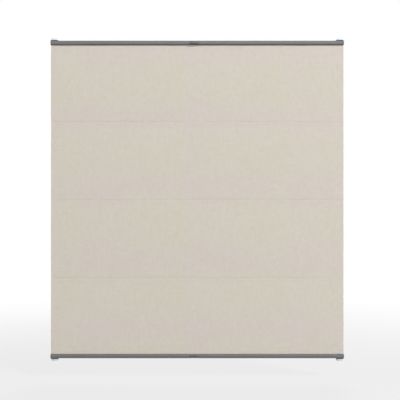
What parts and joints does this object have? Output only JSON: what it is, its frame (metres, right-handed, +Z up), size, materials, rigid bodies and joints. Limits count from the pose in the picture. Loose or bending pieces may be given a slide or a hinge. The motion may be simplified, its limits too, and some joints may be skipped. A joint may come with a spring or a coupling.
{
  "type": "roman blind",
  "caption": "Flat roman blind clamped on a window sash, with two rails that slide on taut guide cords and a linen cloth that folds between them.",
  "frame": {"origin": "centre of the whole blind's box, drawn out, clamps included", "axes": "+X along the rails to the viewer's right in the room, -Y into the room, +Y to the window, +Z up"},
  "size_m": [1, 0.0528, 1.1008],
  "materials": {
    "rail_aluminium": "satin",
    "grey_plastic": "matte",
    "clamp_plastic": "satin",
    "pad_rubber": "matte",
    "clear_plastic": "satin",
    "cord": "matte",
    "rod": "satin",
    "spring_steel": "satin",
    "linen": "matte"
  },
  "bodies": {
    "frame": {"bottom_left_clamp": "clamp_plastic", "bottom_left_clamp_pad": "pad_rubber", "bottom_left_cord_shoe": "grey_plastic", "bottom_left_cord_stop": "clear_plastic", "bottom_right_clamp": "clamp_plastic", "bottom_right_clamp_pad": "pad_rubber", "bottom_right_cord_shoe": "grey_plastic", "bottom_right_cord_stop": "clear_plastic", "cloth": "linen", "cord_rings_2": "clear_plastic", "fold_rod_2": "rod", "left_guide_cord": "cord", "right_guide_cord": "cord", "top_left_clamp": "clamp_plastic", "top_left_clamp_pad": "pad_rubber", "top_left_cord_shoe": "grey_plastic", "top_left_cord_stop": "clear_plastic", "top_right_clamp": "clamp_plastic", "top_right_clamp_pad": "pad_rubber", "top_right_cord_shoe": "grey_plastic", "top_right_cord_stop": "clear_plastic"},
    "top_rail_set": {"top_rail": "rail_aluminium", "top_hem_bead": "clear_plastic", "top_grip": "grey_plastic", "top_left_end_cap": "grey_plastic", "top_right_end_cap": "grey_plastic", "top_crossing_cords": "cord"},
    "bottom_rail_set": {"bottom_rail": "rail_aluminium", "bottom_hem_bead": "clear_plastic", "bottom_grip": "grey_plastic", "bottom_left_end_cap": "grey_plastic", "bottom_right_end_cap": "grey_plastic", "bottom_crossing_cords": "cord", "tension_springs": "spring_steel"},
    "upper_fold": {"fold_rod_1": "rod", "cord_rings_1": "clear_plastic"},
    "lower_fold": {"fold_rod_3": "rod", "cord_rings_3": "clear_plastic"}
  },
  "joints": [
    {"name": "top_rail_slide", "type": "slide", "parent": "frame", "child": "top_rail_set", "axis": [0, 0, -1], "range_m": [0, 0.484], "deforming": ["cloth"]},
    {"name": "bottom_rail_slide", "type": "slide", "parent": "frame", "child": "bottom_rail_set", "axis": [0, 0, 1], "range_m": [0, 0.484], "deforming": ["cloth"]},
    {"name": "upper_fold_slide", "type": "slide", "parent": "frame", "child": "upper_fold", "axis": [0, 0, -1], "range_m": [0, 0.2443]},
    {"name": "lower_fold_slide", "type": "slide", "parent": "frame", "child": "lower_fold", "axis": [0, 0, 1], "range_m": [0, 0.2443]}
  ],
  "couplings": [
    {"joint": "upper_fold_slide", "follows": "top_rail_slide", "ratio": 0.50474},
    {"joint": "lower_fold_slide", "follows": "bottom_rail_slide", "ratio": 0.50474}
  ]
}
